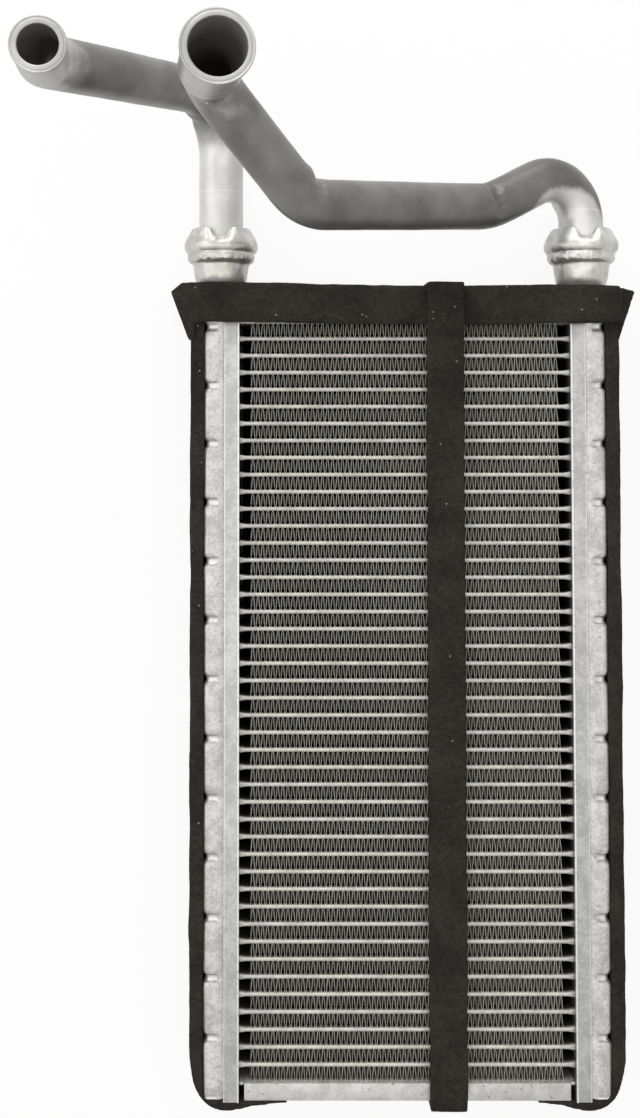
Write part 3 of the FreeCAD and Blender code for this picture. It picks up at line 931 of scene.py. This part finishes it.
band_low, band_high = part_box("foam_top_band")
strap_low, strap_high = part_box("foam_strap")
band_length = 154.6 * mm
band_x = core_middle - band_length / 2
band_top = band_high.y
flap_y = band_top - 14.0 * mm
band = ribbon(
    "foam_top_band_folded",
    [
        (band_x, flap_y, band_low.z + foam_half),
        (band_x, band_top - foam_half, band_low.z + foam_half),
        (band_x, band_top - foam_half, band_high.z - foam_half),
        (band_x, flap_y, band_high.z - foam_half),
    ],
    (band_length, 0, 0), foam_sheet,
)
ear_low = header[0].z
ear_inner = 74.5 * mm
ear_foot = band_top - 20.5 * mm
left_ear = cut_foam(
    "foam_ear_left", -1,
    [
        (ear_inner, ear_foot), (76.5 * mm, ear_foot), (82.8 * mm, band_top - 3.4 * mm),
        (79.2 * mm, band_top), (ear_inner, band_top),
    ],
    ear_low, header[1].z + 2.0 * mm,
)
right_ear = cut_foam(
    "foam_ear_right", 1,
    [
        (ear_inner, ear_foot), (76.3 * mm, ear_foot), (82.3 * mm, band_top - 3.1 * mm),
        (81.9 * mm, band_top - 2.6 * mm), (78.0 * mm, band_top - 1.7 * mm),
        (ear_inner, band_top - 1.4 * mm),
    ],
    ear_low, header[1].z - 1.5 * mm,
)

# The band sags where the strap pulls it in, and its right end is pushed in at the corner.
band_sag = 1.2 * mm
sag_half = 12.0 * mm
sag_spread = 70 * mm
band_cuts = (-90, -75, -60, -45, -30, -20, -10, 10, 16, 22, 30, 40)
strap_x = (strap_low.x + strap_high.x) / 2
edit(band)
for x in band_cuts:
    cut((strap_x + x * mm, 0, 0), (1, 0, 0))
pick(band, lambda p: abs(p.x - strap_x) < sag_half and p.y > band_top - 4.0 * mm)
bpy.ops.transform.translate(
    value=(0, -band_sag, 0), use_proportional_edit=True, proportional_edit_falloff="SMOOTH",
    proportional_size=sag_spread,
)
pick(band, lambda p: p.x > band_x + band_length - mm and p.y > band_top - mm)
bpy.ops.transform.translate(value=(-1.6 * mm, -0.9 * mm, 0))
bpy.ops.object.mode_set(mode="OBJECT")
band = joined([band, left_ear, right_ear])
foam_finished(band, "foam_top_band", band_grain)

front_z = header[1].z + foam_half
strap_route = [
    (strap_low.y + foam_half, foam_half), (band_top - foam_half, foam_half),
    (band_top - foam_half, strap_high.z - foam_half), (flap_y - 2 * mm, strap_high.z - foam_half),
    (flap_y - 5 * mm, front_z), (strap_low.y + foam_half, front_z),
    (strap_low.y + foam_half, foam_half),
]
strap = ribbon(
    "foam_strap_glued", [(strap_low.x, y, z) for y, z in strap_route],
    (strap_high.x - strap_low.x, 0, 0), foam_sheet,
)
foam_finished(strap, "foam_strap", strap_grain)

strip_rise = 15.0 * mm
turn_steps = 12
tank_low, tank_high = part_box("tank_right")
tank_x = tank_high.x - core_middle
end_y = header[0].y
plate_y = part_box("side_plate_bottom")[0].y


def curve(start, pull, end):
    """Points of a curve that leaves start, bends towards pull and comes in at end."""
    points = []
    for step in range(turn_steps + 1):
        t = step / turn_steps
        points.append(tuple(
            (1 - t) ** 2 * a + 2 * t * (1 - t) * b + t ** 2 * c
            for a, b, c in zip(start, pull, end)
        ))
    return points


for name, side in (("foam_strip_left", -1), ("foam_strip_right", 1)):
    low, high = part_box(name)
    outer = high.x - core_middle if side > 0 else core_middle - low.x
    tail = low.x - core_middle if side > 0 else core_middle - high.x
    outline = [
        (tank_x - 0.1 * mm, high.y), (tank_x - 0.1 * mm, tank_low.y + 2.6 * mm),
        (tank_x - 0.8 * mm, tank_low.y + 0.8 * mm), (tank_x - 2.6 * mm, tank_low.y),
        (rim_x, tank_low.y), (rim_x, end_y), (header_face, end_y),
        (header_face - 0.4 * mm, plate_y), (tail, plate_y), (tail, plate_y - 0.3 * mm),
        (header_face - 13.0 * mm, plate_y - 0.5 * mm),
        (header_face - 10.0 * mm, plate_y - 0.85 * mm),
        (header_face - 7.5 * mm, plate_y - 1.4 * mm), (header_face - 5.2 * mm, end_y - 1.2 * mm),
        (header_face - 3.2 * mm, end_y - 1.8 * mm), (header_face - 1.0 * mm, end_y - 2.4 * mm),
        (header_face + 1.8 * mm, end_y - 2.85 * mm),
    ]
    outline += curve(
        (rim_x - 3.0 * mm, end_y - 3.0 * mm), (rim_x + 10.4 * mm, end_y - 4.2 * mm),
        (outer, end_y + strip_rise),
    )
    outline.append((outer, high.y))
    strip = cut_foam(name + "_glued", side, outline, low.z, high.z)
    foam_finished(strip, name, strip_grain)


# Studio
# Pale floor with a painted shadow under the core, white surround, three soft boxes, and a camera over
# the core.
# Both floor and surround look white, and give the core less light than that.

floor_size = 6.0
core_edge_x = (0.058, 0.066)
core_edge_y = (0.134, 0.142)
shadow_under_core = (0.03, 0.022, 0.018, 1)
pale_floor = (0.86, 0.86, 0.85, 1)
white = (1, 1, 1, 1)
lamp_aim = Vector((core_middle, 0.05, 0.0))
camera_place = (-60.1 * mm, 92.0 * mm, 525.3 * mm)
camera_tilt = math.radians(2.317)
sensor_width = 36.0
focal_pixels = 1400.0
frame_height = 1118.0
principal = (275.0, 380.0)
frame_middle = (320.0, 559.0)


def seen_directly(tree):
    """1 for rays that come straight from the camera, off a mirror or through glass, else 0."""
    rays = tree.nodes.new("ShaderNodeLightPath")
    straight = Paint(tree, rays.outputs["Is Camera Ray"])
    mirrored = Paint(tree, rays.outputs["Is Glossy Ray"])
    through = Paint(tree, rays.outputs["Is Transmission Ray"])
    return (straight + mirrored + through).math("MINIMUM", 1.0)


deselect()
bpy.ops.mesh.primitive_plane_add(size=floor_size, location=(0, 0, 0))
floor = bpy.context.active_object
floor.name = "floor"
floor_paint, place = finish_named("pale_floor")
across, along, height = place.axes()
# Painted shadow: the floor right under the core is near black, and only the floor around it glows
# white.
off_core = (across - core_middle).math("ABSOLUTE").above(*core_edge_x)
off_core = off_core.math("MAXIMUM", along.math("ABSOLUTE").above(*core_edge_y))
ground = off_core.mix(shadow_under_core, pale_floor)
plain = place.node("ShaderNodeBsdfDiffuse", None, {"Color": ground})
glow = place.node("ShaderNodeEmission", None, {"Color": white, "Strength": 1.0})
glow_share = seen_directly(floor_paint.node_tree) * off_core * 0.9
both = place.node("ShaderNodeMixShader", None, {0: glow_share, 1: plain, 2: glow})
place.node("ShaderNodeOutputMaterial", None, {"Surface": both})
floor.data.materials.append(floor_paint)

world = bpy.data.worlds.new("white_surround")
world.use_nodes = True
bpy.context.scene.world = world
world.node_tree.nodes.clear()
strength = seen_directly(world.node_tree) * 0.55 + 0.45
sky = strength.node("ShaderNodeBackground", None, {"Color": white, "Strength": strength})
sky.node("ShaderNodeOutputWorld", None, {"Surface": sky})

for name, lamp_place, size, power in (
    ("soft_box_overhead", (-0.06, 0.10, 1.30), 1.6, 6.5),
    ("soft_box_far", (-0.15, 0.95, 0.30), 1.0, 8.5),
    ("soft_box_left", (-0.85, 0.10, 0.60), 0.8, 2.0),
):
    deselect()
    bpy.ops.object.light_add(type="AREA", location=lamp_place)
    lamp = bpy.context.active_object
    lamp.name = name
    lamp.data.size = size
    lamp.data.energy = power
    lamp.rotation_euler = (lamp_aim - Vector(lamp_place)).to_track_quat("-Z", "Y").to_euler()

bpy.ops.object.camera_add(location=camera_place, rotation=(camera_tilt, 0, 0))
camera = bpy.context.active_object
camera.data.sensor_width = sensor_width
camera.data.lens = sensor_width * focal_pixels / frame_height
camera.data.shift_x = (frame_middle[0] - principal[0]) / frame_height
camera.data.shift_y = -(frame_middle[1] - principal[1]) / frame_height
bpy.context.scene.camera = camera
bpy.context.scene.view_settings.view_transform = "Standard"

bpy.context.view_layer.update()
